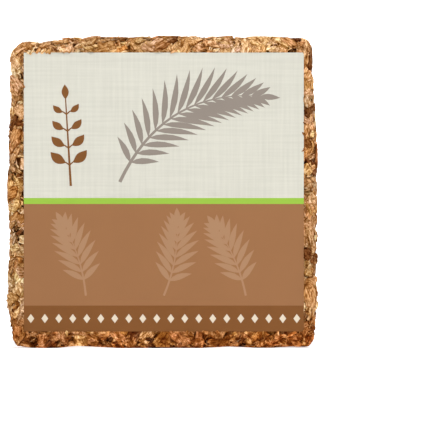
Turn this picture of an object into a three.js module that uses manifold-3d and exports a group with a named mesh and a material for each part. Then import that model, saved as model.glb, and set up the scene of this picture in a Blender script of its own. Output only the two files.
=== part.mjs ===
// A pressed block of coconut husk chips that stands on its edge, with a paper label on its front.
// Millimetres. +Z is up, the label faces -Y, and the origin is under the middle of the block.

import * as THREE from "three";
import { mergeVertices } from "three/addons/utils/BufferGeometryUtils.js";
import Module from "manifold-3d";

// Driving dimensions
const WIDTH = 305;
const HEIGHT = 311;
const DEPTH = 125;
const EDGE_RADIUS = 10;
const LABEL_WIDTH = 280;
const LABEL_HEIGHT = 279;
const LABEL_THICKNESS = 0.5;
const LABEL_GAP = 0.3;
const LABEL_BASE = 17;
const LABEL_OFFSET_X = 2.3;
const CHIP_STANDS_PROUD = 3;
const FRONT_RIM = 9;
const BASE_PAD = [70, 44];
const BACK_PAD = [64, 48];

// How far each edge of the front outline strays outwards, as [place along the edge, offset].
const LEFT_EDGE = [
  [0, -6], [12, -6], [24, -3], [42, 4], [84, 1], [114, -1], [148, 3], [172, 1],
  [210, 1.5], [245, -0.5], [270, -1.5], [300, -1], [311, -5],
];
const RIGHT_EDGE = [
  [0, 0], [35, 4], [70, 3], [110, 4], [150, 3.5], [188, 4.5], [206, 3.2],
  [230, 2.2], [272, 0], [290, -0.5], [311, -2],
];
const TOP_EDGE = [
  [-152, -4], [-139, -3], [-129, -6], [-118, -5], [-107, -2], [-79, 2], [-49, 3],
  [0, 2], [20, 3], [50, 2], [100, 2], [130, 1], [140, 0], [152, -2],
];

const LABEL_STACK = LABEL_GAP + LABEL_THICKNESS;
const FRONT = -DEPTH / 2 + LABEL_STACK;
const BACK = DEPTH / 2;
const BLOCK_DEPTH = BACK - FRONT;
const MIDDLE_Y = (FRONT + BACK) / 2;

const wasm = await Module();
wasm.setup();

// A repeatable source of random numbers.
function randomSource(seed) {
  let state = seed;
  return () => {
    state = (state + 0x6d2b79f5) | 0;
    let t = Math.imul(state ^ (state >>> 15), 1 | state);
    t = (t + Math.imul(t ^ (t >>> 7), 61 | t)) ^ t;
    return ((t ^ (t >>> 14)) >>> 0) / 4294967296;
  };
}

const random = randomSource(20261130);
const between = (low, high) => low + (high - low) * random();

// The offset of an edge at a place along it, eased between its listed points.
function offsetAt(edge, place) {
  if (place <= edge[0][0]) return edge[0][1];
  for (let i = 1; i < edge.length; i++) {
    const [start, low] = edge[i - 1];
    const [end, high] = edge[i];
    if (place <= end) {
      return low + (high - low) * THREE.MathUtils.smoothstep(place, start, end);
    }
  }
  return edge[edge.length - 1][1];
}

function solidFrom(geometry) {
  geometry.deleteAttribute("normal");
  geometry.deleteAttribute("uv");
  const merged = mergeVertices(geometry, 1e-3);
  return new wasm.Manifold(
    new wasm.Mesh({
      numProp: 3,
      vertProperties: merged.attributes.position.array,
      triVerts: new Uint32Array(merged.index.array),
    }),
  );
}

function geometryFrom(solid) {
  const mesh = solid.getMesh();
  const geometry = new THREE.BufferGeometry();
  geometry.setAttribute("position", new THREE.BufferAttribute(mesh.vertProperties, 3));
  geometry.setIndex(new THREE.BufferAttribute(mesh.triVerts, 1));
  geometry.computeVertexNormals();
  return geometry;
}

// Grid lines along one axis of the block: one step round each edge, and even cells between them.
function gridLines(half, radius, cell) {
  const flat = half - radius;
  const cells = Math.max(1, Math.round((2 * flat) / cell));
  const inner = Array.from({ length: cells + 1 }, (_, i) => -flat + (2 * flat * i) / cells);
  return [-half, ...inner, half];
}

// The block's overall form: a box with soft edges that strays along its outline. The inset shrinks it on
// every side, and the roughness moves each vertex that isn't on the front, back or bottom plane.
function blockForm({ inset, radius, cell, roughness }) {
  const size = [WIDTH - 2 * inset, BLOCK_DEPTH - 2 * inset, HEIGHT - 2 * inset];
  const half = new THREE.Vector3(...size).multiplyScalar(0.5);
  const lines = size.map((length) => gridLines(length / 2, radius, cell));
  const form = new THREE.BoxGeometry(...size, ...lines.map((list) => list.length - 1));
  form.deleteAttribute("normal");
  form.deleteAttribute("uv");
  const geometry = mergeVertices(form, 1e-3);
  const places = geometry.attributes.position;
  const core = half.clone().subScalar(radius);
  const point = new THREE.Vector3();
  const onLine = (value, axis) => {
    const steps = lines[axis].length - 1;
    return lines[axis][Math.round((value / size[axis] + 0.5) * steps)];
  };
  for (let i = 0; i < places.count; i++) {
    point.fromBufferAttribute(places, i);
    point.set(onLine(point.x, 0), onLine(point.y, 1), onLine(point.z, 2));
    const share = point.clone().divide(half);
    const inner = point.clone().clamp(core.clone().negate(), core);
    const outward = point.clone().sub(inner);
    if (outward.length() > 0) point.copy(inner.add(outward.setLength(radius)));
    const z = point.z + HEIGHT / 2;
    const strayX = share.x > 0 ? offsetAt(RIGHT_EDGE, z) : -offsetAt(LEFT_EDGE, z);
    const strayZ = share.z > 0 ? offsetAt(TOP_EDGE, point.x) : 0;
    point.x += strayX * Math.abs(share.x) + between(-roughness, roughness) * Math.abs(share.x);
    point.z += strayZ * Math.abs(share.z) + between(-roughness, roughness) * Math.max(share.z, 0);
    places.setXYZ(i, point.x, point.y + MIDDLE_Y, point.z + HEIGHT / 2);
  }
  return solidFrom(geometry);
}

// One flattened husk chip: an uneven plate centred on the origin, long in X, wide in Y and thin in Z.
// A chip of four corners is roughly oblong, and one of more corners roughly oval.
function chipSolid(length, width, thickness, corners) {
  const oblong = corners === 4;
  const start = oblong ? 0.5 : random();
  const outline = [];
  for (let i = 0; i < corners; i++) {
    const angle = ((i + start + between(-0.12, 0.12)) / corners) * 2 * Math.PI;
    const reach = between(0.88, 1.1) * (oblong ? Math.SQRT1_2 : 0.5);
    outline.push(new THREE.Vector2(Math.cos(angle) * length * reach, Math.sin(angle) * width * reach));
  }
  const plate = new THREE.ExtrudeGeometry(new THREE.Shape(outline), {
    depth: thickness,
    bevelEnabled: false,
  });
  return solidFrom(plate.translate(0, 0, -thickness / 2));
}

// Places a chip: along and normal are the directions of its length and of its thin side.
function placedChip({ size, centre, along, normal, tilt }) {
  const zAxis = normal.clone().normalize();
  const xAxis = along.clone().addScaledVector(zAxis, -along.dot(zAxis)).normalize();
  const yAxis = new THREE.Vector3().crossVectors(zAxis, xAxis);
  const matrix = new THREE.Matrix4().makeBasis(xAxis, yAxis, zAxis);
  const lean = THREE.MathUtils.degToRad(tilt);
  const sway = new THREE.Euler(between(-lean, lean), between(-lean, lean), between(-lean, lean));
  matrix.multiply(new THREE.Matrix4().makeRotationFromEuler(sway)).setPosition(centre);
  return chipSolid(...size).transform(matrix.elements);
}

// Calls make(u, v) once in each cell of a loose grid, at a random place in the cell.
function scatter([lowU, highU], [lowV, highV], [cellU, cellV], fill, make) {
  const made = [];
  const columns = Math.max(1, Math.round((highU - lowU) / cellU));
  const rows = Math.max(1, Math.round((highV - lowV) / cellV));
  for (let row = 0; row < rows; row++) {
    for (let column = 0; column < columns; column++) {
      const u = lowU + ((column + between(0.15, 0.85)) / columns) * (highU - lowU);
      const v = lowV + ((row + between(0.15, 0.85)) / rows) * (highV - lowV);
      if (random() < fill) made.push(make(u, v));
    }
  }
  return made;
}

const X = new THREE.Vector3(1, 0, 0);
const Y = new THREE.Vector3(0, 1, 0);
const Z = new THREE.Vector3(0, 0, 1);
const HALF_WIDTH = WIDTH / 2;

// Chips that lie flat on the pressed front or back, each sunk so that a little of it stands proud.
function faceChip(x, y, z, outward) {
  const thickness = between(6, 9);
  const turn = between(0, Math.PI);
  const centre = new THREE.Vector3(x, y - outward * (thickness / 2 - between(0.2, 0.8)), z);
  return placedChip({
    size: [between(26, 44), between(18, 30), thickness, Math.floor(between(4, 6.99))],
    centre,
    along: new THREE.Vector3(Math.cos(turn), 0, Math.sin(turn)),
    normal: Y,
    tilt: 7,
  });
}

function backChips() {
  return scatter([-140, 140], [12, 300], [33, 31], 0.84, (x, z) => faceChip(x, BACK, z, 1));
}

// The rim of the front that shows round the label.
function frontRimChips() {
  const lay = (x, z) => faceChip(x, FRONT, z, -1);
  const length = 29;
  const row = [-HALF_WIDTH + FRONT_RIM, HALF_WIDTH - FRONT_RIM];
  const column = [LABEL_BASE, HEIGHT - FRONT_RIM];
  return [
    ...scatter(row, [3, LABEL_BASE - 3], [length, LABEL_BASE], 1, lay),
    ...scatter(row, [HEIGHT - FRONT_RIM - 4, HEIGHT - 4], [length, FRONT_RIM], 1, lay),
    ...scatter([-HALF_WIDTH + 3, -HALF_WIDTH + FRONT_RIM], column, [FRONT_RIM, length], 1, lay),
    ...scatter([HALF_WIDTH - FRONT_RIM, HALF_WIDTH - 3], column, [FRONT_RIM, length], 1, lay),
  ];
}

// On the narrow sides the same chips are seen edge on, in layers parallel to the front.
function layeredChips(outward, along, placeAt, [low, high], cell, fill) {
  const inDepth = [FRONT + 5, BACK - 5];
  return scatter([low, high], inDepth, cell, fill, (place, y) => {
    const width = between(16, 24);
    const proud = between(0.8, CHIP_STANDS_PROUD + 0.5);
    return placedChip({
      size: [between(26, 46), width, between(6, 12), 4],
      centre: placeAt(place, y).addScaledVector(outward, proud - width / 2),
      along,
      normal: Y,
      tilt: 8,
    });
  });
}

function sideChips() {
  const inset = CHIP_STANDS_PROUD;
  const left = (z, y) => new THREE.Vector3(-HALF_WIDTH + inset - offsetAt(LEFT_EDGE, z), y, z);
  const right = (z, y) => new THREE.Vector3(HALF_WIDTH - inset + offsetAt(RIGHT_EDGE, z), y, z);
  const top = (x, y) => new THREE.Vector3(x, y, HEIGHT - inset + offsetAt(TOP_EDGE, x));
  const bottom = (x, y) => new THREE.Vector3(x, y, inset);
  const cell = [39, 21];
  return [
    ...layeredChips(X.clone().negate(), Z, left, [6, 302], cell, 0.92),
    ...layeredChips(X, Z, right, [6, 302], cell, 0.92),
    ...layeredChips(Z, X, top, [-140, 140], cell, 0.92),
    ...layeredChips(Z.clone().negate(), X, bottom, [-138, 138], cell, 0.92),
  ];
}

// Dark gaps where a chip has dropped out of the surface.
function gaps() {
  const pit = (centre, outward) =>
    placedChip({
      size: [between(12, 22), between(8, 13), between(9, 14), 4],
      centre,
      along: new THREE.Vector3(between(-1, 1), between(-1, 1), between(-1, 1)),
      normal: outward,
      tilt: 25,
    });
  const onBack = scatter([-125, 125], [25, 290], [80, 75], 1, (x, z) =>
    pit(new THREE.Vector3(x, BACK, z), Y),
  );
  const inDepth = [FRONT + 12, BACK - 12];
  const onSides = [-1, 1].flatMap((side) =>
    scatter([25, 290], inDepth, [75, 60], 1, (z, y) => pit(new THREE.Vector3(side * HALF_WIDTH, y, z), X)),
  );
  const onTop = scatter([-125, 125], inDepth, [75, 60], 1, (x, y) =>
    pit(new THREE.Vector3(x, y, HEIGHT), Z),
  );
  return [...onBack, ...onSides, ...onTop];
}

function plainBox(width, depth, height, x, y, z) {
  return solidFrom(new THREE.BoxGeometry(width, depth, height).translate(x, y, z));
}

// Ground that the press leaves smooth: under the label, and at the middle of the base and of the back.
function pressedFlats() {
  const sunk = CHIP_STANDS_PROUD + 4;
  const labelMiddle = LABEL_BASE + LABEL_HEIGHT / 2;
  return [
    plainBox(LABEL_WIDTH - 6, sunk, LABEL_HEIGHT - 6, LABEL_OFFSET_X, FRONT + sunk / 2, labelMiddle),
    plainBox(...BASE_PAD, sunk, 0, MIDDLE_Y, sunk / 2),
    plainBox(BACK_PAD[0], sunk, BACK_PAD[1], 0, BACK - sunk / 2, HEIGHT / 2),
  ];
}

function pressedBlock() {
  const core = blockForm({ inset: CHIP_STANDS_PROUD, radius: EDGE_RADIUS, cell: 30, roughness: 0.8 });
  const mould = blockForm({ inset: 0, radius: EDGE_RADIUS, cell: 30, roughness: 0 });
  const chips = [...backChips(), ...frontRimChips(), ...sideChips()];
  const rough = wasm.Manifold.union([core, ...chips]);
  const pitted = wasm.Manifold.difference([rough, ...gaps()]);
  const pressed = wasm.Manifold.union([pitted, ...pressedFlats()]).intersect(mould);
  const pieces = pressed.decompose().sort((a, b) => b.volume() - a.volume());
  return geometryFrom(pieces[0]);
}

// Moves the geometry so that its box is centred on X = 0 and stands on Z = 0.
function centredOnBase(geometry) {
  geometry.computeBoundingBox();
  const { min, max } = geometry.boundingBox;
  return geometry.translate(-(min.x + max.x) / 2, 0, -min.z);
}

const husk = new THREE.MeshStandardMaterial({ color: 0xb98a58, roughness: 0.95, metalness: 0 });
const paper = new THREE.MeshStandardMaterial({ color: 0xd8cdb8, roughness: 0.6, metalness: 0 });

const block = new THREE.Mesh(centredOnBase(pressedBlock()), husk);
block.name = "block";

const label = new THREE.Mesh(new THREE.BoxGeometry(LABEL_WIDTH, LABEL_THICKNESS, LABEL_HEIGHT), paper);
label.name = "label";
label.position.set(
  LABEL_OFFSET_X,
  -DEPTH / 2 + LABEL_THICKNESS / 2,
  LABEL_BASE + LABEL_HEIGHT / 2,
);

const part = new THREE.Group();
part.add(block, label);

export default part;
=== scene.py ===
# A pressed block of coconut husk chips that stands on its edge, with a paper label on its front.
# Metres. +Z is up and the label faces -Y. Chips, crumbs and fibres are small closed meshes of their own.

import math
from itertools import combinations
from typing import NamedTuple

import bpy
import numpy as np
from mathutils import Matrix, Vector, geometry


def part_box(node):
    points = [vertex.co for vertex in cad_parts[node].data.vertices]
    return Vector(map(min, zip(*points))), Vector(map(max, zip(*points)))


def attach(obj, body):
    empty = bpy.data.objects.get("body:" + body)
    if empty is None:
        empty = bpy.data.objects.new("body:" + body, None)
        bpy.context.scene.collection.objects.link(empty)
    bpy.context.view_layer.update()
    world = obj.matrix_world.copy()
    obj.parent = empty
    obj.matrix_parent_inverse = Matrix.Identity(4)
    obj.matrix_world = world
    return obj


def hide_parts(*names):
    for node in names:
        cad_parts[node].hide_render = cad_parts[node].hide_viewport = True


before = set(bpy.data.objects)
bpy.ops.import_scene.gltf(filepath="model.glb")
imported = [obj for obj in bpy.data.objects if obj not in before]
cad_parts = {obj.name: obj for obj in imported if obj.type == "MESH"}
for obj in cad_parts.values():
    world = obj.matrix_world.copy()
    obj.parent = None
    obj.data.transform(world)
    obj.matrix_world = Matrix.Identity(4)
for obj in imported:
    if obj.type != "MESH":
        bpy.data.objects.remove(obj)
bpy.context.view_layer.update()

MM = 0.001
rng = np.random.default_rng(4711)

# Places and sizes that the solid model gives
BLOCK_LOW, BLOCK_HIGH = (np.array(corner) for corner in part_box("block"))
LABEL_LOW, LABEL_HIGH = (np.array(corner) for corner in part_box("label"))
LABEL_SIZE = LABEL_HIGH - LABEL_LOW
FRONT, BACK = BLOCK_LOW[1], BLOCK_HIGH[1]

# The pressed surface: how round its long edges are, how far the solid's chips reach out of it, and how far a
# chip may stand out of it
EDGE_RADIUS = 10 * MM
CHIPS_REACH = 1.9 * MM
MOST_PROUD = 3 * MM

# The outline is taken at stations along the sides and the top, each from what lies within its window, a share
# of the distance between them, and is then smoothed a little
SIDE_STATIONS = 36
TOP_STATIONS = 26
LOWEST_STATION = 4 * MM
STATION_WINDOW = 0.7
SMOOTHING = [0.2, 0.6, 0.2]

# How far each corner of the front outline is rounded: first left or right, then low or high
CORNER_RADII = np.array([[10, 17], [12, 9]]) * MM

# How far the underside is clear of the ground, as [place across the block, height]
UNDERSIDE = np.array([
    [-150, 2.5], [-139, 1.6], [-131, 0.6], [-116, 0.2], [-104, 0.2], [-92, 1.6], [-84, 2.4], [-60, 1.0],
    [-40, 0], [40, 0], [66, 1.8], [95, 0.4], [112, 0.4], [130, 1.6], [144, 1.2], [152, 2.5],
]) * MM

# Each side of the block as the axis that it faces along, and the sign of that direction
SIDES = {
    "front": (1, -1),
    "back": (1, 1),
    "left": (0, -1),
    "right": (0, 1),
    "base": (2, -1),
    "top": (2, 1),
}


def to_linear(red, green, blue):
    """A colour given as sRGB values from 0 to 255, as linear light."""
    shares = np.array([red, green, blue]) / 255
    return np.where(shares <= 0.04045, shares / 12.92, ((shares + 0.055) / 1.055) ** 2.4)


def unit(vectors):
    """The vectors at length 1."""
    return vectors / np.maximum(np.linalg.norm(vectors, axis=-1, keepdims=True), 1e-12)


def square_to(vectors, axes):
    """The part of each vector that is at right angles to its axis, at length 1."""
    return unit(vectors - axes * (vectors * axes).sum(-1, keepdims=True))


def from_rounded_box(offset, half, radius):
    """How far points are outside a rounded box about the origin, and the direction straight out of it."""
    beyond = np.abs(offset) - (half - radius)
    outside = np.maximum(beyond, 0)
    length = np.linalg.norm(outside, axis=1, keepdims=True)
    flat = np.eye(beyond.shape[1])[beyond.argmax(1)]
    out = np.where(length > 1e-9, outside / np.maximum(length, 1e-9), flat) * np.where(offset < 0, -1, 1)
    return length[:, 0] + np.minimum(beyond.max(1), 0) - np.ravel(radius), out


class Envelope:
    """The pressed surface of the block: a slab with rounded edges whose outline follows the solid's."""

    def __init__(self, solid, radius):
        self.radius = radius
        places = np.array([v.co for v in solid.data.vertices])
        self.rows = np.linspace(LOWEST_STATION, BLOCK_HIGH[2] - radius, SIDE_STATIONS)
        self.columns = np.linspace(BLOCK_LOW[0] + radius, BLOCK_HIGH[0] - radius, TOP_STATIONS)
        self.left = -self.outline(-places[:, 0], places[:, 2], self.rows)
        self.right = self.outline(places[:, 0], places[:, 2], self.rows)
        self.top = self.outline(places[:, 2], places[:, 0], self.columns)

    @staticmethod
    def outline(reach, place, stations):
        """The pressed surface near each station, a little inside the furthest reach of the solid's chips."""
        half = STATION_WINDOW * (stations[1] - stations[0])
        furthest = np.array([reach[np.abs(place - s) < half].max() for s in stations]) - CHIPS_REACH
        padded = np.concatenate([furthest[:1], furthest, furthest[-1:]])
        return np.convolve(padded, SMOOTHING, "valid")

    def distance(self, points):
        """How far each point is outside the surface, and the direction straight out of it."""
        left = np.interp(points[:, 2], self.rows, self.left)
        right = np.interp(points[:, 2], self.rows, self.right)
        top = np.interp(points[:, 0], self.columns, self.top)
        middle = np.stack([(left + right) / 2, top / 2], 1)
        half = np.stack([(right - left) / 2, top / 2], 1)
        offset = points[:, [0, 2]] - middle
        corner = CORNER_RADII[tuple((offset > 0).astype(int).T)][:, None]
        gap, way = from_rounded_box(offset, half, corner)
        depth = points[:, 1] - (FRONT + BACK) / 2
        thick = (BACK - FRONT) / 2
        section = np.stack([np.maximum(gap + thick, 0), depth], 1)
        gap, lean = from_rounded_box(section, np.array([thick, thick]), self.radius)
        return gap, np.stack([way[:, 0] * lean[:, 0], lean[:, 1], way[:, 1] * lean[:, 0]], 1)

    def settle(self, points):
        """The points moved straight in or out until they lie on the surface, and the directions out of it."""
        for _ in range(3):
            gap, out = self.distance(points)
            points = points - out * gap[:, None]
        return points, self.distance(points)[1]

    def press(self, points, give):
        """What stands out pressed back: flush with the surface at a give of 0, to MOST_PROUD at most at 1."""
        gap, out = self.distance(points)
        back = np.clip(gap, 0, MOST_PROUD) * (1 - give) + np.maximum(gap - MOST_PROUD, 0)
        return points - out * back[:, None]


envelope = Envelope(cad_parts["block"], EDGE_RADIUS)


def above_ground(points):
    """The points with those that lie too low raised to the uneven underside."""
    points[:, 2] = np.maximum(points[:, 2], np.interp(points[:, 0], *UNDERSIDE.T))
    return points


def spread_over(side, spacing):
    """Points spread loosely but evenly over one side, out to the middle of its rounded edges."""
    axis, sign = SIDES[side]
    across = [i for i in range(3) if i != axis]
    low, high = BLOCK_LOW[across], BLOCK_HIGH[across]
    steps = np.maximum(1, np.round((high - low) / spacing)).astype(int)
    cells = np.stack(np.meshgrid(*map(np.arange, steps), indexing="ij"), -1).reshape(-1, 2)
    points = np.zeros((len(cells), 3))
    points[:, across] = low + (cells + rng.uniform(0.05, 0.95, cells.shape)) / steps * (high - low)
    points[:, axis] = (BLOCK_LOW, BLOCK_HIGH)[sign > 0][axis]
    return envelope.settle(points)


def inside_label(points, margin):
    """Which points lie behind the label, by more than the margin in from its edge."""
    x, z = points[..., 0], points[..., 2]
    in_x = (x > LABEL_LOW[0] + margin) & (x < LABEL_HIGH[0] - margin)
    in_z = (z > LABEL_LOW[2] + margin) & (z < LABEL_HIGH[2] - margin)
    return in_x & in_z & (points[..., 1] < 0)


def places_over(sides, spacing, margin):
    """Points spread over several sides, and the directions out of them, but none behind the label."""
    spots = [spread_over(side, spacing) for side in sides]
    points, out = (np.concatenate(arrays) for arrays in zip(*spots))
    shown = ~inside_label(points, margin)
    return points[shown], out[shown]


def add_object(name, data):
    """A new object in the scene, made of the data."""
    made = bpy.data.objects.new(name, data)
    bpy.context.scene.collection.objects.link(made)
    return made


# How attributes of one, three and four numbers are kept
ATTRIBUTE_FORMS = {1: ("FLOAT", "value"), 3: ("FLOAT_VECTOR", "vector"), 4: ("FLOAT_COLOR", "color")}


def mesh_object(name, vertices, triangles, attributes, smooth_angle=None):
    """An object made of triangles, with named attributes on its points."""
    mesh = bpy.data.meshes.new(name)
    mesh.vertices.add(len(vertices))
    mesh.vertices.foreach_set("co", np.asarray(vertices, np.float32).ravel())
    mesh.loops.add(triangles.size)
    mesh.loops.foreach_set("vertex_index", np.asarray(triangles, np.int32).ravel())
    mesh.polygons.add(len(triangles))
    mesh.polygons.foreach_set("loop_start", np.arange(0, triangles.size, 3, dtype=np.int32))
    mesh.update(calc_edges=True)
    for key, values in attributes.items():
        kind, field = ATTRIBUTE_FORMS[1 if values.ndim == 1 else values.shape[1]]
        attribute = mesh.attributes.new(key, kind, "POINT")
        attribute.data.foreach_set(field, values.astype(np.float32).ravel())
    if smooth_angle is None:
        mesh.polygons.foreach_set("use_smooth", np.zeros(len(triangles), bool))
    else:
        mesh.set_sharp_from_angle(angle=math.radians(smooth_angle))
    mesh.validate()
    return add_object(name, mesh)


def repeated(triangles, count, size):
    """The triangles of many like shapes, each of which has the given number of points."""
    every = triangles[None] + np.arange(count)[:, None, None] * size
    return every.reshape(-1, 3)


def per_point(tones, size):
    """One colour for each shape, opaque and repeated for each of its points."""
    opaque = np.concatenate([tones, np.ones((len(tones), 1))], 1)
    return np.repeat(opaque, size, 0)


# The husk's own colours: bright and dull tans, cream pith, orange skin, brown and grey fibre, dark scraps
HUSK_TONES = np.array([
    to_linear(211, 168, 122),
    to_linear(195, 151, 107),
    to_linear(229, 196, 154),
    to_linear(204, 150, 98),
    to_linear(169, 124, 81),
    to_linear(186, 150, 112),
    to_linear(113, 69, 36),
])
TONE_SHARES = np.array([0.28, 0.23, 0.13, 0.13, 0.13, 0.05, 0.05])

# Husk is never brighter or darker than this, and its blue is at most this share of its green
BRIGHTEST = 0.84
DARKEST = 0.004
MOST_BLUE = 0.58

# How much the brightness of one scrap differs from the next, within limits, and its red, green and blue alone
LIGHT_SPREAD = 0.14
LIGHT_LIMITS = (0.5, 1.3)
CHANNEL_SPREAD = np.array([0.02, 0.025, 0.08])

# Dark husk is redder than pale husk: the power of the shade that each of red, green and blue follows
DEEPENING = np.array([1.0, 1.4, 2.1])


def husk_tones(count):
    """One colour for each scrap of husk, none quite like another."""
    picked = HUSK_TONES[rng.choice(len(HUSK_TONES), count, p=TONE_SHARES)]
    light = np.clip(rng.normal(1.0, LIGHT_SPREAD, (count, 1)), *LIGHT_LIMITS) ** DEEPENING
    warmth = 1 + rng.normal(0, 1, (count, 3)) * CHANNEL_SPREAD
    mixed = np.maximum(picked * light * warmth, DARKEST)
    mixed[:, 2] = np.minimum(mixed[:, 2], MOST_BLUE * mixed[:, 1])
    return mixed / np.maximum(mixed.max(1, keepdims=True) / BRIGHTEST, 1)


# The shape of a scrap: how far its corners are out, how full its edges are, and how frayed they are along the
# grain and at its ends
CORNERS_OUT = (0.62, 1.08)
EDGE_BULGE = 0.16
FRAY_ALONG = 0.05
FRAY_AT_ENDS = 0.17

# Its thickness: the size of its lower face against its edge, the pitch of its ridges, and how far it curls
LOWER_FACE = 0.93
RIDGE_PITCH = 4.0 * MM
CURL = 0.9 * MM


def broken_outline(count, edge_points):
    """The edge of each scrap: a crooked oblong with four breaks, frayed most at its ends."""
    corners = np.array([(1, 1), (-1, 1), (-1, -1), (1, -1)]) * rng.uniform(*CORNERS_OUT, (count, 4, 2))
    after = np.roll(corners, -1, 1)
    share = (np.arange(edge_points) / edge_points)[:, None]
    points = corners[:, :, None] * (1 - share) + after[:, :, None] * share
    bulge = EDGE_BULGE * np.sin(math.pi * share)
    fray = np.array([FRAY_ALONG, FRAY_AT_ENDS] * 2)[:, None, None] * (share > 0)
    points = points * (1 + bulge + fray * rng.normal(0, 1, points.shape))
    return points.reshape(count, -1, 2)


def plate_triangles(segments, rings):
    """The triangles of one plate: a middle point, rings from the top to the underside, and a last point."""
    here = np.arange(segments)
    after = (here + 1) % segments
    faces = [np.stack([0 * here, 1 + here, 1 + after], 1)]
    for ring in range(rings - 1):
        inner, outer = 1 + ring * segments, 1 + (ring + 1) * segments
        faces.append(np.stack([inner + here, outer + here, outer + after], 1))
        faces.append(np.stack([inner + here, outer + after, inner + after], 1))
    last = 1 + (rings - 1) * segments
    faces.append(np.stack([0 * here + 1 + rings * segments, last + after, last + here], 1))
    return np.concatenate(faces)


def grain_ridges(x, y, count):
    """Ridges that run along the grain and wander, from -1 to 1."""
    total = 0
    for share in (0.5, 0.3, 0.2):
        pitch = RIDGE_PITCH * rng.uniform(0.6, 1.6, (count, 1))
        wander = 0.9 * np.sin(x * 2 * math.pi / (pitch * 3) + rng.uniform(0, 6.3, (count, 1)))
        total = total + share * np.sin(y * 2 * math.pi / pitch + wander + rng.uniform(0, 6.3, (count, 1)))
    return total


def plate_heights(ring_x, ring_y, length, thickness, relief, outer_ring):
    """The height of each point of the plates over their middle plane. The outer ring is the broken edge."""
    count, segments = len(ring_x), outer_ring.stop - outer_ring.start
    bumps = rng.normal(0, 1, ring_x.shape)
    ridges = grain_ridges(ring_x, ring_y, count)
    height = thickness / 2 + relief * (0.8 * ridges + 0.6 * bumps)
    curl = rng.uniform(-1, 1, (count, 1)) * CURL
    height = height + curl * ((ring_x / length * 2) ** 2 - 0.4)
    height[:, outer_ring] -= thickness * rng.uniform(0.1, 0.4, (count, segments))
    height[:, outer_ring.stop :] = -thickness / 2 + relief * 0.5 * bumps[:, outer_ring.stop :]
    return height


def husk_plates(centres, normals, along, sizes, grade):
    """Many broken plates of husk at once: their points, triangles and attributes."""
    count, segments = len(centres), 4 * grade.edge_points
    length, width, thickness = sizes.T[:, :, None]
    edge = broken_outline(count, grade.edge_points)
    edge_x, edge_y = edge[..., 0] * length / 2, edge[..., 1] * width / 2
    shares = [*grade.top_rings, 1.0, LOWER_FACE]
    middle = np.zeros((count, 1))
    ring_x = np.concatenate([middle, *(share * edge_x for share in shares), middle], 1)
    ring_y = np.concatenate([middle, *(share * edge_y for share in shares), middle], 1)
    first = 1 + (len(shares) - 2) * segments
    outer_ring = slice(first, first + segments)
    height = plate_heights(ring_x, ring_y, length, thickness, grade.relief * MM, outer_ring)
    across = np.cross(normals, along)
    points = centres[:, None] + ring_x[..., None] * along[:, None] + ring_y[..., None] * across[:, None]
    points = points + height[..., None] * normals[:, None]
    size = points.shape[1]
    # Painted shade on each plate's broken edge and lower face, for the dark gaps between pieces
    painted_gap_shade = np.zeros(ring_x.shape)
    painted_gap_shade[:, first:-1] = grade.edge_shade * rng.uniform(0.3, 1, (count, 2 * segments))
    local = np.stack([ring_x, ring_y, height], -1) + rng.uniform(0, 4, (count, 1, 3))
    attributes = {
        "tone": per_point(husk_tones(count), size),
        "grain": local.reshape(-1, 3),
        "fibrous": np.repeat(rng.beta(1.3, 0.9, count), size),
        "depth": painted_gap_shade.ravel(),
    }
    triangles = repeated(plate_triangles(segments, len(shares)), count, size)
    return points.reshape(-1, 3), triangles, attributes


# How far flat and layered chips lean, in degrees, the share on narrow sides that show their edges, and how
# much the grain of these wanders
FLAT_LEAN = 9
LAYERED_LEAN = 11
EDGE_ON_SHARE = 0.62
GRAIN_WANDER = 0.25


def leaned(directions, degrees):
    """The directions, each leaned at random."""
    sway = rng.normal(0, math.tan(math.radians(degrees)), directions.shape)
    return unit(directions + sway)


def chip_frames(out):
    """The thin direction and the grain of each chip. Narrow sides show most chips edge on, in layers."""
    count = len(out)
    through = np.array([0.0, 1.0, 0.0])
    flat = leaned(out, FLAT_LEAN)
    layered = leaned(np.tile(through, (count, 1)), LAYERED_LEAN)
    edge_on = (np.abs(out[:, 1]) < 0.45) & (rng.uniform(0, 1, count) < EDGE_ON_SHARE)
    normals = np.where(edge_on[:, None], layered, flat)
    turn = rng.normal(0, 1, (count, 3))
    tangent = np.cross(out, through) + GRAIN_WANDER * turn
    along = square_to(np.where(edge_on[:, None], tangent, turn), normals)
    return normals, along, edge_on


# Husk behind the label, and in a margin round it, stays inside the block's front by this clearance
SHEET_MARGIN = 0.4 * MM
SHEET_CLEARANCE = 0.15 * MM


def keep_behind_label(points):
    """Husk behind the label stays clear of the sheet."""
    hidden = inside_label(points, -SHEET_MARGIN)
    points[hidden, 1] = np.maximum(points[hidden, 1], FRONT + SHEET_CLEARANCE)
    return points


def pressed_husk(points, give):
    """Husk pressed back to the surface, clear of the label and of the ground."""
    return above_ground(keep_behind_label(envelope.press(points, give)))


# Husk this deep in the block gets the full painted shade of the gaps between chips
FULL_SHADE_DEPTH = 6 * MM


def with_depth(points, attributes):
    """The attributes with each point's painted shade deepened by how deep it lies in the block."""
    gap, _ = envelope.distance(points)
    painted_gap_shade = attributes["depth"] + np.maximum(-gap, 0) / FULL_SHADE_DEPTH
    return {**attributes, "depth": np.clip(painted_gap_shade, 0, 1)}


def joined(parts):
    """Several sets of points, triangles and attributes as one."""
    offsets = np.cumsum([0] + [len(points) for points, _, _ in parts[:-1]])
    points = np.concatenate([part[0] for part in parts])
    triangles = np.concatenate([part[1] + offset for part, offset in zip(parts, offsets)])
    keys = parts[0][2].keys()
    return points, triangles, {key: np.concatenate([part[2][key] for part in parts]) for key in keys}


class Grade(NamedTuple):
    """One grade of husk pieces, in millimetres.

    Sizes are length, width and thickness, and proud is how far pieces stand out of the surface.
    """

    spacing: float
    smallest: tuple
    largest: tuple
    proud: tuple
    edge_points: int
    top_rings: tuple
    relief: float
    # The last field darkens each piece's edges with painted shade, for the gaps between pieces
    edge_shade: float


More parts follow.
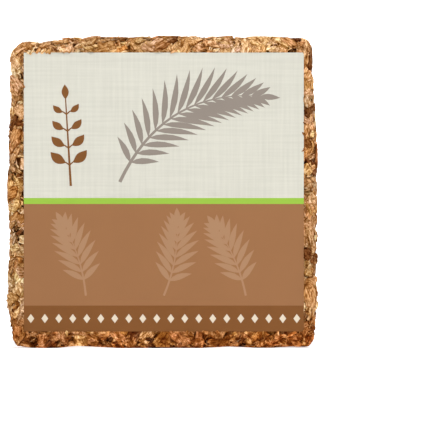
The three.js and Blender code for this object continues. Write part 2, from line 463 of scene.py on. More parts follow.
LARGE_CHIPS = Grade(10.5, (12, 8, 3), (28, 17, 6), (-2.8, 2.2), 4, (0.3, 0.58, 0.84), 0.6, 0.5)
SMALL_CHIPS = Grade(11, (5, 3, 1.8), (12, 7, 3.4), (-2.6, 1.8), 2, (0.7,), 0.5, 0.4)
SLIVERS = Grade(6.8, (4, 0.7, 0.6), (15, 1.7, 1.2), (-1.2, 1.3), 1, (), 0.2, 0.0)
FLAKES = Grade(0, (4, 1.6, 0.5), (9, 4, 0.9), (0, 0), 3, (0.5,), 0.12, 0.0)

# The share of its height over the surface that a chip keeps, on the large faces and on the narrow sides, and
# the share of chips on the narrow sides that keep all of it
PRESSED = 0.3
HALF_PRESSED = 0.7
STANDING_SHARE = 0.22

# Chips lie up to this far in behind the label's edge. The edges of those seen edge on get less painted shade.
BEHIND_LABEL = 9 * MM
EDGE_ON_SHADE = 0.35

# Chips have sharp edges where their faces meet at more than this many degrees
SHARP_ANGLE = 24


def chips_of(side, grade):
    """One grade of chips over one side of the block. A few on the narrow sides escaped the pressing."""
    points, out = places_over([side], grade.spacing * MM, BEHIND_LABEL)
    count = len(points)
    sizes = rng.uniform(grade.smallest, grade.largest, (count, 3)) * MM
    normals, along, edge_on = chip_frames(out)
    reach = np.where(edge_on, sizes[:, 1] / 2, sizes[:, 2] / 2)
    sunk = reach - rng.uniform(*grade.proud, count) * MM
    centres = points - out * sunk[:, None]
    placed, triangles, attributes = husk_plates(centres, normals, along, sizes, grade)
    size = len(placed) // count
    # Chips seen edge on get less painted shade on their edges
    attributes["depth"] *= np.repeat(np.where(edge_on, EDGE_ON_SHADE, 1), size)
    on_narrow_side = np.abs(out[:, 1]) < 0.8
    standing = (rng.uniform(0, 1, count) < STANDING_SHARE) & on_narrow_side
    give = np.where(standing, 1.0, np.where(on_narrow_side, HALF_PRESSED, PRESSED))
    placed = pressed_husk(placed, np.repeat(give, size))
    return placed, triangles, with_depth(placed, attributes)


def side_chips(side):
    """All the chips of one side: large ones, and smaller ones in front of and between them."""
    chips = joined([chips_of(side, LARGE_CHIPS), chips_of(side, SMALL_CHIPS)])
    return mesh_object(f"chips_{side}", *chips, smooth_angle=SHARP_ANGLE)


def slivers():
    """Narrow splinters of husk that lie over the chips and across the gaps."""
    return mesh_object("slivers", *joined([chips_of(side, SLIVERS) for side in SIDES]))


# Stretches of the label's upper (1) and lower (-1) edge that flakes lap over: from and to in millimetres from
# its left edge, and the number of flakes
FLAKE_STRETCHES = [(1, 1, 40, 10), (1, 150, 235, 5), (-1, 4, 85, 14), (-1, 150, 270, 9)]


def flakes():
    """Thin flakes that lap over the label from the rim."""
    centres = []
    for side, start, end, count in FLAKE_STRETCHES:
        edge = (LABEL_LOW, LABEL_HIGH)[side > 0][2]
        evenly = np.linspace(LABEL_LOW[0] + start * MM, LABEL_LOW[0] + end * MM, count)
        across = evenly + rng.uniform(-2 * MM, 2 * MM, count)
        level = edge + side * rng.uniform(0.8 * MM, 2.8 * MM, count)
        centres.append(np.stack([across, np.full(count, LABEL_LOW[1] - 0.2 * MM), level], 1))
    centres = np.concatenate(centres)
    count = len(centres)
    normals = leaned(np.tile([0.0, -1.0, 0.0], (count, 1)), 4)
    along = square_to(rng.normal(0, 1, (count, 3)) * (1, 1, 0.5), normals)
    sizes = rng.uniform(FLAKES.smallest, FLAKES.largest, (count, 3)) * MM
    plates = husk_plates(centres, normals, along, sizes, FLAKES)
    return mesh_object("flakes", *plates, smooth_angle=SHARP_ANGLE)


def icosahedron():
    """The twelve corners and twenty triangles of an icosahedron of radius 1."""
    golden = (1 + math.sqrt(5)) / 2
    corners = [(-1, golden, 0), (1, golden, 0), (-1, -golden, 0), (1, -golden, 0)]
    corners += [(c, a, b) for a, b, c in corners] + [(b, c, a) for a, b, c in corners]
    corners = unit(np.array(corners, float))
    triangles = []
    for i, j, k in combinations(range(12), 3):
        three = corners[[i, j, k]]
        if np.linalg.norm(three - np.roll(three, 1, 0), axis=1).max() < 1.1:
            outward = np.dot(np.cross(three[1] - three[0], three[2] - three[0]), three[0]) > 0
            triangles.append((i, j, k) if outward else (i, k, j))
    return corners, np.array(triangles)


# Crumbs: the distance between them, how far they go in behind the label's edge, how deep they lie, their
# radii, how much those differ with direction and from corner to corner, and their shade against that of chips
CRUMB_SPACING = 6.4 * MM
CRUMBS_BEHIND_LABEL = 6 * MM
CRUMB_DEPTHS = (1.2 * MM, 4.2 * MM)
CRUMB_RADII = (0.8 * MM, 1.9 * MM)
CRUMB_STRETCH = (0.3, 1.4)
CRUMB_ROUGHNESS = (0.6, 1.25)
CRUMB_SHADE = 0.85


def crumbs():
    """Small granules of pith that fill the gaps between the chips."""
    corners, triangles = icosahedron()
    size = len(corners)
    points, out = places_over(SIDES, CRUMB_SPACING, CRUMBS_BEHIND_LABEL)
    count = len(points)
    centres = points - out * rng.uniform(*CRUMB_DEPTHS, (count, 1))
    radii = rng.uniform(*CRUMB_RADII, (count, 1, 1)) * rng.uniform(*CRUMB_STRETCH, (count, 1, 3))
    shape = corners[None] * radii * rng.uniform(*CRUMB_ROUGHNESS, (count, size, 1))
    first = unit(rng.normal(0, 1, (count, 3)))
    second = unit(np.cross(first, rng.normal(0, 1, (count, 3))))
    basis = np.stack([first, second, np.cross(first, second)], 1)
    placed = (centres[:, None] + shape @ basis).reshape(-1, 3)
    placed = pressed_husk(placed, PRESSED)
    attributes = {
        "tone": per_point(husk_tones(count) * CRUMB_SHADE, size),
        "grain": shape.reshape(-1, 3) + np.repeat(rng.uniform(0, 4, (count, 3)), size, 0),
        "fibrous": np.zeros(count * size),
        "depth": np.zeros(count * size),
    }
    return mesh_object("crumbs", placed, repeated(triangles, count, size), with_depth(placed, attributes))


# The core: how coarse it is, and how deep under the pressed surface it lies
CORE_VOXEL = 6 * MM
CORE_DEPTHS = (2.6 * MM, 4.2 * MM)


def core():
    """The granular inside of the block, seen only between the chips; its dark colour is painted shade for the
    deep gaps.
    """
    made = add_object("core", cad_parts["block"].data.copy())
    remesh = made.modifiers.new("remesh", "REMESH")
    remesh.mode = "VOXEL"
    remesh.voxel_size = CORE_VOXEL
    depsgraph = bpy.context.evaluated_depsgraph_get()
    mesh = bpy.data.meshes.new_from_object(made.evaluated_get(depsgraph))
    bpy.data.objects.remove(made)
    mesh.name = "core"
    places = np.array([v.co for v in mesh.vertices])
    surface, out = envelope.settle(places)
    places = above_ground(surface - out * rng.uniform(*CORE_DEPTHS, (len(places), 1)))
    mesh.vertices.foreach_set("co", places.astype(np.float32).ravel())
    mesh.update()
    return add_object("core", mesh)


# Fibres: the distance between them, how far their starts and all of them keep off the label, the rings and
# sides of each tube, and the share of those on the narrow sides that lift off at one end
FIBRE_SPACING = 13 * MM
FIBRE_START_MARGIN = 2 * MM
FIBRE_MARGIN = 0.5 * MM
FIBRE_STEPS = 7
FIBRE_SIDES = 3
LOOSE_SHARE = 0.22

# A fibre's radius at its start, the share of that lost at its end, and its palest and darkest colours
FIBRE_RADII = (0.13 * MM, 0.3 * MM)
FIBRE_TAPER = 0.65
PALE_FIBRE = to_linear(214, 172, 122)
DARK_FIBRE = to_linear(104, 62, 30)


def fibre_paths(run):
    """The middle line of each fibre, and the direction out of the block all along it."""
    sides = [side for side in SIDES if side != "base"]
    starts, out = places_over(sides, FIBRE_SPACING, -FIBRE_START_MARGIN)
    count = len(starts)
    lengths = rng.uniform(6 * MM, 24 * MM, (count, 1)) * rng.choice([1, 1.8], (count, 1), p=[0.85, 0.15])
    along = unit(np.cross(out, rng.normal(0, 1, (count, 3))))
    aside = np.cross(out, along)
    swing = rng.normal(0, 0.28, (count, 1)) * run**2 + rng.normal(0, 0.1, (count, 1)) * np.sin(run * 5)
    path = starts[:, None] + (lengths * run)[..., None] * along[:, None]
    path = path + (lengths * swing)[..., None] * aside[:, None]
    loose = rng.uniform(0, 1, (count, 1)) < LOOSE_SHARE * (np.abs(out[:, 1:2]) < 0.7)
    lifted = rng.uniform(1.0 * MM, 5.0 * MM, (count, 1))
    lying = rng.uniform(-0.6 * MM, 0.4 * MM, (count, 1))
    height = rng.uniform(-0.3 * MM, 0.5 * MM, (count, 1)) + np.where(loose, lifted, lying) * run**2
    surface, out = envelope.settle(path.reshape(-1, 3))
    held = np.clip(1.3 - 1.3 * np.abs(out[:, 1:2]), 0.1, 1)
    path = above_ground(surface + out * height.reshape(-1, 1) * held)
    path[:, 2] = np.maximum(path[:, 2], 0.5 * MM)
    path, out = path.reshape(count, -1, 3), out.reshape(count, -1, 3)
    clear = ~inside_label(path, -FIBRE_MARGIN).any(1)
    return path[clear], out[clear]


def tube_triangles(steps, sides):
    """The triangles of one tube: rings of points from its start to its end, and then a point for each tip."""
    triangles = []
    for ring in range(steps - 1):
        for k in range(sides):
            a, b = ring * sides + k, ring * sides + (k + 1) % sides
            c, d = a + sides, b + sides
            triangles += [(a, b, d), (a, d, c)]
    start_tip, end_tip, last = steps * sides, steps * sides + 1, (steps - 1) * sides
    for k in range(sides):
        after = (k + 1) % sides
        triangles += [(start_tip, after, k), (end_tip, last + k, last + after)]
    return np.array(triangles)


def fibres():
    """Thin loose fibres: tapered tubes that lie on the chips or lift off them at one end."""
    run = np.linspace(0, 1, FIBRE_STEPS)[None]
    path, out = fibre_paths(run)
    count = len(path)
    forward = unit(np.gradient(path, axis=1))
    first = square_to(out, forward)
    second = np.cross(forward, first)
    radius = rng.uniform(*FIBRE_RADII, (count, 1)) * (1 - FIBRE_TAPER * run)
    turns = np.arange(FIBRE_SIDES) / FIBRE_SIDES * 2 * math.pi
    ring = first[:, :, None] * np.cos(turns)[:, None] + second[:, :, None] * np.sin(turns)[:, None]
    rings = path[:, :, None] + ring * radius[:, :, None, None]
    start_tips = path[:, 0] - forward[:, 0] * 0.3 * MM
    end_tips = path[:, -1] + forward[:, -1] * 0.5 * MM
    points = np.concatenate([rings.reshape(count, -1, 3), np.stack([start_tips, end_tips], 1)], 1)
    size = points.shape[1]
    triangles = repeated(tube_triangles(FIBRE_STEPS, FIBRE_SIDES), count, size)
    tones = PALE_FIBRE + (DARK_FIBRE - PALE_FIBRE) * rng.beta(0.7, 1.0, (count, 1))
    attributes = {"tone": per_point(tones, size)}
    return mesh_object("fibres", points.reshape(-1, 3), triangles, attributes, smooth_angle=180)


# The printed sheet. Places on it are in millimetres, to the right and up from its lower left corner.
FOOT_TOP = 26.0
TAN_TOP = 128.0
GREEN_TOP = 134.0
SHEET = 280.0

# The paper's thickness, and how many lines of points each way let it follow the chips behind it
PAPER_THICKNESS = 0.3 * MM
SHEET_LINES = 36

INKS = {
    "cream": to_linear(226, 224, 211),
    "tan": to_linear(165, 117, 79),
    "brown": to_linear(137, 89, 49),
    "green": to_linear(163, 205, 77),
    "grey": to_linear(157, 146, 136),
    "light_tan": to_linear(182, 140, 106),
    "pale": to_linear(240, 226, 202),
}
BARE_PAPER = to_linear(205, 190, 165)

# The share of its colour at which an ink shows that colour in the studio's light, and how much its threads
# differ in brightness, on the cream and on the other inks
PRINT_SHADE = 0.643
CREAM_LINEN = 0.05
INK_LINEN = 0.004


def bezier(start, control, end, count):
    """Points along a bowed line, and the direction of travel at each."""
    start, control, end = (np.array(point, float) for point in (start, control, end))
    t = np.linspace(0, 1, count)[:, None]
    points = (1 - t) ** 2 * start + 2 * t * (1 - t) * control + t**2 * end
    ways = 2 * (1 - t) * (control - start) + 2 * t * (end - control)
    return points, unit(ways)


def left_of(ways):
    """The directions on the sheet a quarter turn to the left."""
    return np.stack([-ways[..., 1], ways[..., 0]], -1)


def turned(way, degrees):
    """A direction on the sheet turned to the left."""
    angle = math.radians(degrees)
    return way * math.cos(angle) + left_of(way) * math.sin(angle)


def blade(root, way, length, width, droop, steps=6, fullness=0.8):
    """One leaf: pointed at both ends, widest where the fullness puts it, and bent a little to one side."""
    control = root + way * length * 0.5 + left_of(way) * droop
    spine, ways = bezier(root, control, root + way * length, steps)
    half = width / 2 * np.sin(np.linspace(0, 1, steps) ** fullness * math.pi)[:, None]
    left, right = spine + left_of(ways) * half, spine - left_of(ways) * half
    return np.concatenate([left, right[-2:0:-1]])


def stem(points, ways, start_width, end_width):
    """A tapered line drawn along the points."""
    half = np.linspace(start_width, end_width, len(points))[:, None] / 2
    aside = left_of(ways)
    return np.concatenate([points + aside * half, (points - aside * half)[::-1]])


def frond(start, control, end, pairs, reach, leaf_width, rib_width):
    """A palm frond: a bowed rib with slender leaves on both sides of it."""
    points, ways = bezier(start, control, end, 18)
    shapes = [stem(points, ways, rib_width, rib_width * 0.25)]
    roots, root_ways = bezier(start, control, end, pairs + 3)
    for i in range(2, pairs + 2):
        share = i / (pairs + 2)
        length = reach * math.sin(math.pi * (0.1 + 0.82 * share)) ** 0.8
        for side in (-1, 1):
            way = turned(root_ways[i], side * (62 - 38 * share))
            shapes.append(blade(roots[i], way, length, leaf_width, side * length * -0.08))
    shapes.append(blade(roots[-1] - root_ways[-1] * 2, root_ways[-1], reach * 0.45, leaf_width, 0))
    return shapes


def sprig(base, way, height, pairs, leaf_length, leaf_width, rib_width):
    """An upright twig with rounded leaves in pairs, each on a short stalk."""
    base, way = np.array(base, float), unit(np.array(way, float))
    end = base + way * height
    points, ways = bezier(base, (base + end) / 2, end, 6)
    shapes = [stem(points, ways, rib_width, rib_width * 0.5)]
    for i in range(pairs):
        root = base + way * height * (0.24 + 0.58 * i / max(1, pairs - 1))
        size = 1 - 0.12 * i
        for side in (-1, 1):
            leaf_way = turned(way, side * 52)
            stalk_end = root + leaf_way * 5
            shapes.append(stem(np.array([root, stalk_end]), np.array([leaf_way, leaf_way]), 1.6, 1.2))
            length, width = leaf_length * size, leaf_width * size
            leaf = blade(stalk_end - leaf_way, leaf_way, length, width, side * 3, steps=14, fullness=1.0)
            shapes.append(leaf)
    shapes.append(blade(end - way, way, leaf_length * 0.8, leaf_width * 0.75, 0, steps=14, fullness=1.0))
    return shapes


def diamonds(count, level, half_width, half_height):
    """A row of small diamonds across the sheet."""
    corners = np.array([(-half_width, 0), (0, -half_height), (half_width, 0), (0, half_height)], float)
    return [corners + (SHEET * (i + 0.5) / count, level) for i in range(count)]


def printed_shapes():
    """Every shape on the sheet with its ink, lowest first."""
    bands = [
        ("cream", 0.0, SHEET),
        ("tan", FOOT_TOP, TAN_TOP),
        ("green", TAN_TOP, GREEN_TOP),
        ("brown", 0.0, FOOT_TOP),
    ]
    shapes = []
    for ink, low, high in bands:
        shapes.append((ink, np.array([(0, low), (SHEET, low), (SHEET, high), (0, high)], float)))
    large_frond = frond((96, 150), (140, 244), (238, 236), pairs=16, reach=46, leaf_width=6.2, rib_width=3.4)
    shapes += [("grey", shape) for shape in large_frond]
    twig = sprig((47, 146), (-0.06, 1), height=88, pairs=4, leaf_length=19, leaf_width=9.5, rib_width=2.4)
    shapes += [("brown", shape) for shape in twig]
    for place, lean in ((62, 18), (140, -10), (222, 24)):
        way = turned(np.array([0.0, 1.0]), lean)
        start = np.array([place, 36.0])
        end = start + way * 78
        bow = (start + end) / 2 - left_of(way) * 9
        small_frond = frond(start, bow, end, pairs=8, reach=30, leaf_width=6.0, rib_width=2.2)
        shapes += [("light_tan", shape) for shape in small_frond]
    row = diamonds(count=20, level=FOOT_TOP / 2, half_width=3.4, half_height=4.6)
    shapes += [("pale", shape) for shape in row]
    return shapes


def inside(polygon, points):
    """Which points lie inside a polygon."""
    x, y = points.T
    within = np.zeros(len(points), bool)
    for (x1, y1), (x2, y2) in zip(polygon, np.roll(polygon, -1, 0)):
        if y1 != y2:
            crosses = (y1 > y) != (y2 > y)
            within ^= crosses & (x < (x2 - x1) * (y - y1) / (y2 - y1) + x1)
    return within


def sheet_height(places):
    """How far the paper sinks behind its highest places, following the chips behind it."""
    u, v = places.T / SHEET * 2 * math.pi
    wave = np.sin(2.3 * u + 1.1 * np.sin(1.7 * v)) + np.sin(3.1 * v + 0.9 * np.sin(2.9 * u + 1.0))
    ripple = np.sin(7.3 * u + 2.0 * np.sin(3.1 * v)) * np.sin(6.1 * v + 1.4 * np.sin(4.3 * u))
    return (0.24 + 0.085 * wave + 0.05 * ripple) * MM


def cut_sheet(shapes):
    """The flat sheet's points and triangles, cut along every shape's edges."""
    lines = [np.linspace(0, SHEET, SHEET_LINES)] * 2
    grid = np.stack(np.meshgrid(*lines), -1).reshape(-1, 2)
    vertices = [Vector(place) for place in grid]
    edges = []
    for _, shape in shapes:
        start, count = len(vertices), len(shape)
        edges += [(start + i, start + (i + 1) % count) for i in range(count)]
        vertices += [Vector(place) for place in shape]
    cut = geometry.delaunay_2d_cdt(vertices, edges, [], 0, 1e-4, False)
    places = np.array([tuple(place) for place in cut[0]])
    triangles = np.array([tuple(face) for face in cut[2]])
    corner = places[triangles]
    spans = corner[:, 1:] - corner[:, :1]
    area = spans[:, 0, 0] * spans[:, 1, 1] - spans[:, 0, 1] * spans[:, 1, 0]
    triangles = np.where(area[:, None] < 0, triangles[:, ::-1], triangles)
    return places, triangles[np.abs(area) > 1e-7]


def edge_walls(triangles, count):
    """Triangles between the rims of the front and the back, whose points come the count later."""
    directed = triangles[:, [[0, 1], [1, 2], [2, 0]]].reshape(-1, 2)
    _, first, uses = np.unique(np.sort(directed, 1), axis=0, return_index=True, return_counts=True)
    start, end = directed[first[uses == 1]].T
    return np.concatenate([
        np.stack([end, start, start + count], 1),
        np.stack([end, start + count, end + count], 1),
    ])


def label_sheet():
    """The paper sheet with its print, cut so that each ink has faces of its own."""
    shapes = printed_shapes()
    places, triangles = cut_sheet(shapes)
    middles = places[triangles].mean(1)
    names = list(INKS)
    ink = np.zeros(len(triangles), int)
    for name, shape in shapes:
        ink[inside(shape, middles)] = names.index(name)
    across, up = (places / SHEET * LABEL_SIZE[[0, 2]]).T
    front = LABEL_LOW + np.stack([across, sheet_height(places), up], 1)
    back = front + np.array([0, PAPER_THICKNESS, 0])
    count = len(places)
    every = np.concatenate([triangles, triangles[:, ::-1] + count, edge_walls(triangles, count)])
    made = mesh_object("label_sheet", np.concatenate([front, back]), every, {}, smooth_angle=60)
    for name in names:
        linen = CREAM_LINEN if name == "cream" else INK_LINEN
        made.data.materials.append(print_material(name, INKS[name], linen))
    made.data.materials.append(print_material("bare_paper", BARE_PAPER, INK_LINEN))
    slots = np.full(len(every), len(names), np.int32)
    slots[: len(ink)] = ink
    made.data.polygons.foreach_set("material_index", slots)
    return made


class Nodes:
    """Short calls that build one material's nodes."""

    def __init__(self, name):
        self.material = bpy.data.materials.new(name)
        self.material.use_nodes = True
        self.tree = self.material.node_tree
        self.shader = self.tree.nodes["Principled BSDF"]

    def feed(self, socket, value):
        """Links a socket to another one, or sets it to a value."""
        if isinstance(value, bpy.types.NodeSocket):
            self.tree.links.new(value, socket)
        else:
            socket.default_value = value

    def add(self, kind, inputs=None, **settings):
        """A new node."""
        node = self.tree.nodes.new(kind)
        for key, value in settings.items():
            setattr(node, key, value)
        for key, value in (inputs or {}).items():
            self.feed(node.inputs[key], value)
        return node

    def attribute(self, name, output="Fac"):
        """An attribute of the mesh."""
        return self.add("ShaderNodeAttribute", attribute_name=name).outputs[output]

    def place(self):
        """The place on the object, in metres."""
        return self.add("ShaderNodeTexCoord").outputs["Object"]

    def scaled(self, vector, scale):
        """A vector with each of its axes scaled."""
        return self.add("ShaderNodeVectorMath", {0: vector, 1: scale}, operation="MULTIPLY").outputs[0]

    def length(self, vector):
        """The length of a vector."""
        return self.add("ShaderNodeVectorMath", {0: vector}, operation="LENGTH").outputs["Value"]

    def noise(self, vector, scale, detail=3.0, roughness=0.55):
        """A random pattern from 0 to 1."""
        inputs = {"Vector": vector, "Scale": scale, "Detail": detail, "Roughness": roughness}
        return self.add("ShaderNodeTexNoise", inputs).outputs["Fac"]

    def remap(self, value, low, high, new_low, new_high):
        """A number carried from one range to another."""
        inputs = {0: value, 1: low, 2: high, 3: new_low, 4: new_high}
        return self.add("ShaderNodeMapRange", inputs).outputs[0]

    def math(self, operation, first, second):
        """One sum with two numbers."""
        return self.add("ShaderNodeMath", {0: first, 1: second}, operation=operation).outputs[0]

    def product(self, first, *others):
        """Several numbers multiplied together."""
        for other in others:
            first = self.math("MULTIPLY", first, other)
        return first

    def blend(self, share, first, second):
        """Numbers blended: all of the first at 0, all of the second at 1."""
        return self.add("ShaderNodeMix", {0: share, 2: first, 3: second}).outputs[0]

    def mix(self, share, first, second, blend_type="MIX"):
        """Colours blended in the same way."""
        inputs = {0: share, 6: first, 7: second}
        return self.add("ShaderNodeMix", inputs, data_type="RGBA", blend_type=blend_type).outputs[2]

    def tinted(self, colour, tint):
        """A colour multiplied by a tint or a shade."""
        return self.mix(1.0, colour, tint, "MULTIPLY")

    def bump(self, height, strength, distance):
        """The surface with small relief."""
        inputs = {"Height": height, "Strength": strength, "Distance": distance}
        return self.add("ShaderNodeBump", inputs).outputs["Normal"]

    def finish(self, **inputs):
        """The material, once its shader has these inputs."""
        for key, value in inputs.items():
            self.feed(self.shader.inputs[key.replace("_", " ")], value)
        return self.material


# Heights between which the husk's darker foot spots end, the red of its foot ends, and the painted light on
# its top starts
DARK_FOOT_HEIGHTS = (0.01, 0.036)
RED_FOOT = (0.01, 0.042)
LIT_TOP = (0.262, 0.285)

# Tints of the husk, among them painted light for its top and right side, and its dust
WHITE = (1, 1, 1, 1)
PAINTED_LIGHT_TINT = (1.12, 1.16, 1.24, 1)
COOL_PATCH = (0.95, 1.0, 1.08, 1)
WARM_PATCH = (1.04, 0.99, 0.9, 1)
REDDENED = (1.0, 0.79, 0.64, 1)
DUST = (*to_linear(222, 180, 130), 1)


def husk_material():
    """Husk: streaks of fibre or mottled pith, cracked, with painted shade between the chips, darker in spots
    at the foot, and painted light on its top and right.
    """
    n = Nodes("husk")
    grain, tone = n.attribute("grain", "Vector"), n.attribute("tone", "Color")
    fibrous, depth = n.attribute("fibrous"), n.attribute("depth")
    place = n.add("ShaderNodeSeparateXYZ", {0: n.place()}).outputs
    height = place["Z"]
    streaks = n.noise(n.scaled(grain, (120, 520, 520)), 1.0, 4.0, 0.6)
    mottles = n.noise(grain, 400.0, 4.0, 0.7)
    pattern = n.blend(fibrous, mottles, streaks)
    wandering = n.noise(n.scaled(grain, (45, 260, 260)), 1.0, 3.0)
    from_crack = n.math("ABSOLUTE", n.math("SUBTRACT", wandering, 0.5), 0.0)
    # Darker in spots towards the foot of the block
    spots = n.remap(n.noise(n.place(), 150.0, 3.0), 0.4, 0.55, 0.0, 1.0)
    darker_foot = n.product(spots, n.remap(height, *DARK_FOOT_HEIGHTS, 1.0, 0.0))
    # The third factor is painted shade: darker where husk lies deep in the block or at a chip's edge, in the
    # gaps between chips
    shade = n.product(
        n.remap(pattern, 0.39, 0.6, 0.32, 1.24),
        n.remap(from_crack, 0.0, 0.022, 0.35, 1.0),
        n.remap(depth, 0.06, 0.55, 1.0, 0.16),
        n.remap(darker_foot, 0.0, 1.0, 1.0, 0.3),
    )
    channels = {i: n.math("POWER", shade, float(power)) for i, power in enumerate(DEEPENING)}
    coloured = n.tinted(tone, n.add("ShaderNodeCombineColor", channels).outputs[0])
    dusty = n.remap(n.noise(n.place(), 90.0, 4.0, 0.7), 0.54, 0.7, 0.0, 0.4)
    coloured = n.mix(n.product(shade, dusty), coloured, DUST)
    # Painted light: the top and the right side paler, as though lit more there
    painted_light_level = n.math("ADD", height, n.product(n.math("MAXIMUM", place["X"], 0.0), 0.5))
    patch = n.remap(n.noise(n.place(), 26.0, 2.0), 0.42, 0.58, 0.0, 1.0)
    coloured = n.tinted(coloured, n.mix(n.remap(painted_light_level, *LIT_TOP, 0.0, 1.0), WHITE, PAINTED_LIGHT_TINT))
    coloured = n.tinted(coloured, n.mix(patch, COOL_PATCH, WARM_PATCH))
    coloured = n.tinted(coloured, n.mix(n.remap(height, *RED_FOOT, 0.0, 1.0), REDDENED, WHITE))
    return n.finish(
        Base_Color=coloured,
        Roughness=n.remap(pattern, 0.3, 0.7, 0.97, 0.8),
        Specular_IOR_Level=0.02,
        Normal=n.bump(pattern, 1.0, 1.6 * MM),
    )


def core_material():
    """Pith between the chips, painted dark as the shade deep in the gaps."""
    n = Nodes("pith_painted_shade")
    grains = n.noise(n.place(), 380.0, 5.0, 0.7)
    dark, pale = (*to_linear(40, 18, 5), 1), (*to_linear(112, 64, 28), 1)
    coloured = n.mix(n.remap(grains, 0.35, 0.65, 0, 1), dark, pale)
    return n.finish(
        Base_Color=coloured,
        Roughness=n.remap(grains, 0.3, 0.7, 0.98, 0.85),
        Specular_IOR_Level=0.08,
        Normal=n.bump(grains, 0.8, 1.5 * MM),
    )


def fibre_material():
    """Single husk fibres, a little glossier than the pith."""
    n = Nodes("fibre")
    along = n.noise(n.place(), 260.0, 3.0)
    coloured = n.tinted(n.attribute("tone", "Color"), n.remap(along, 0.35, 0.65, 0.7, 1.2))
    roughness = n.remap(along, 0.3, 0.7, 0.55, 0.75)
    return n.finish(Base_Color=coloured, Roughness=roughness, Specular_IOR_Level=0.4)


def print_material(name, ink, linen):
    """Ink on paper. The linen is how much the printed threads, across and upright, differ in brightness."""
    n = Nodes(f"print_{name}")
    place = n.place()
    across = n.noise(n.scaled(place, (14, 14, 420)), 1.0, 3.0)
    upright = n.noise(n.scaled(place, (420, 14, 14)), 1.0, 3.0)
    weave = n.math("ADD", n.product(across, 0.5), n.product(upright, 0.5))
    cloud = n.noise(place, 24.0, 3.0)
    threads = n.remap(weave, 0.38, 0.62, PRINT_SHADE * (1 - linen), PRINT_SHADE * (1 + linen))
    coloured = n.tinted((*ink, 1), n.product(threads, n.remap(cloud, 0.35, 0.65, 0.99, 1.01)))
    return n.finish(
        Base_Color=coloured,
        Roughness=n.remap(weave, 0.3, 0.7, 0.5, 0.62),
        Specular_IOR_Level=0.04,
        Normal=n.bump(weave, 0.06, 0.1 * MM),
    )


# The studio: the radii of the rings in its floor, and the arc that rises from the last of them
FLOOR_RADII = (0.5, 1.0, 1.6, 2.4, 3.2)
FLOOR_RIM = FLOOR_RADII[-1]
ARC_RADIUS = 3.0
ARC_ANGLE = math.radians(62)
ARC_STEPS = 24
STUDIO_SEGMENTS = 96

# Scales the floor so that the block stands on a circle with a radius of about 1
FOOTPRINT_SCALE = (6.1, 14.5, 0)


def studio_material():
    """White that glows, more so towards the rim of the floor and under the block."""
    n = Nodes("studio_white")
    open_floor = n.remap(n.length(n.place()), 0.3, FLOOR_RIM, 0.3, 0.5)
    under_block = n.remap(n.length(n.scaled(n.place(), FOOTPRINT_SCALE)), 0.95, 1.15, 0.6, 0.0)
    return n.finish(
        Base_Color=(0.93, 0.93, 0.93, 1),
        Roughness=0.9,
        Specular_IOR_Level=0.1,
        Emission_Color=WHITE,
        Emission_Strength=n.math("ADD", open_floor, under_block),
    )


def studio():
    """A white floor that curves up all round."""
    profile = [(radius, 0.0) for radius in FLOOR_RADII]
    for angle in np.linspace(0, ARC_ANGLE, ARC_STEPS + 1)[1:]:
        profile.append((FLOOR_RIM + ARC_RADIUS * math.sin(angle), ARC_RADIUS * (1 - math.cos(angle))))
    vertices = [(0, 0, 0)]
    for radius, height in profile:
        for turn in np.arange(STUDIO_SEGMENTS) / STUDIO_SEGMENTS * 2 * math.pi:
            vertices.append((radius * math.cos(turn), radius * math.sin(turn), height))
    neighbours = [(k, (k + 1) % STUDIO_SEGMENTS) for k in range(STUDIO_SEGMENTS)]
    faces = [(0, 1 + here, 1 + after) for here, after in neighbours]
    for ring in range(len(profile) - 1):
        inner, outer = 1 + ring * STUDIO_SEGMENTS, 1 + (ring + 1) * STUDIO_SEGMENTS
        faces += [(inner + here, outer + here, outer + after, inner + after) for here, after in neighbours]
    mesh = bpy.data.meshes.new("studio")
    mesh.from_pydata(vertices, [], faces)
    mesh.shade_smooth()
    mesh.materials.append(studio_material())
    made = add_object("studio", mesh)


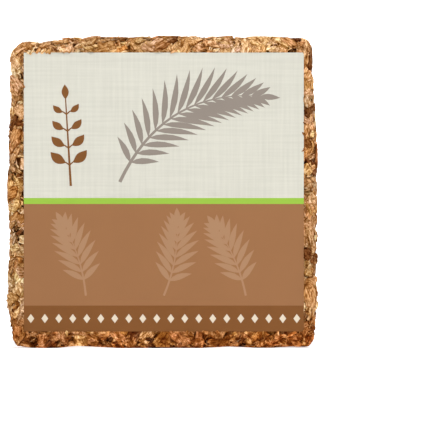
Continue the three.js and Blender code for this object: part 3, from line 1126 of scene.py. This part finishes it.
# Each light's name, the direction it shines in, its strength, and how wide it is in degrees
SUNS = [
    ("key", (-0.02, 0.62, -1.25), 2.7, 10),
    ("back_fill", (-0.5, -0.8, -0.9), 1.0, 30),
    ("left_fill", (1.0, 0.25, -0.8), 0.4, 30),
    ("right_fill", (-1.0, 0.25, -0.8), 0.6, 30),
]
WORLD_STRENGTH = 0.15


def lights():
    """A dim white world, a key light from over the camera, and fill lights from behind and both sides."""
    world = bpy.data.worlds.new("studio_world")
    world.use_nodes = True
    background = world.node_tree.nodes["Background"].inputs
    background["Color"].default_value = WHITE
    background["Strength"].default_value = WORLD_STRENGTH
    bpy.context.scene.world = world
    for name, direction, strength, width in SUNS:
        light = bpy.data.lights.new(name, "SUN")
        light.energy = strength
        light.angle = math.radians(width)
        made = add_object(name, light)
        made.rotation_euler = Vector(direction).to_track_quat("-Z", "Y").to_euler()


# The camera, in metres: the picture's width at the label's plane, at one millimetre a pixel, the distance of
# that plane, and the place of the picture's middle. The sensor is in millimetres.
PHOTO_SPAN = 0.437
CAMERA_DISTANCE = 3.0
CAMERA_X = 0.057
CAMERA_Z = 0.130
SENSOR = 36.0


def camera():
    """A camera straight in front, with a long lens."""
    data = bpy.data.cameras.new("camera")
    data.sensor_width = SENSOR
    data.lens = SENSOR * CAMERA_DISTANCE / PHOTO_SPAN
    data.clip_end = 50
    made = add_object("camera", data)
    made.location = (CAMERA_X, LABEL_LOW[1] - CAMERA_DISTANCE, CAMERA_Z)
    made.rotation_euler = (math.pi / 2, 0, 0)
    bpy.context.scene.camera = made


camera()
lights()
studio()

husk = husk_material()
core_piece = core()
core_piece.data.materials.clear()
core_piece.data.materials.append(core_material())
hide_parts("block")
husk_pieces = [core_piece]
for side in SIDES:
    chips = side_chips(side)
    chips.data.materials.append(husk)
    husk_pieces.append(chips)
for piece in (crumbs(), slivers(), flakes()):
    piece.data.materials.append(husk)
    husk_pieces.append(piece)
fibre_piece = fibres()
fibre_piece.data.materials.append(fibre_material())
husk_pieces.append(fibre_piece)
for piece in husk_pieces:
    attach(piece, "root")

sheet = label_sheet()
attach(sheet, "root")
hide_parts("label")

bpy.context.scene.view_settings.view_transform = "Standard"
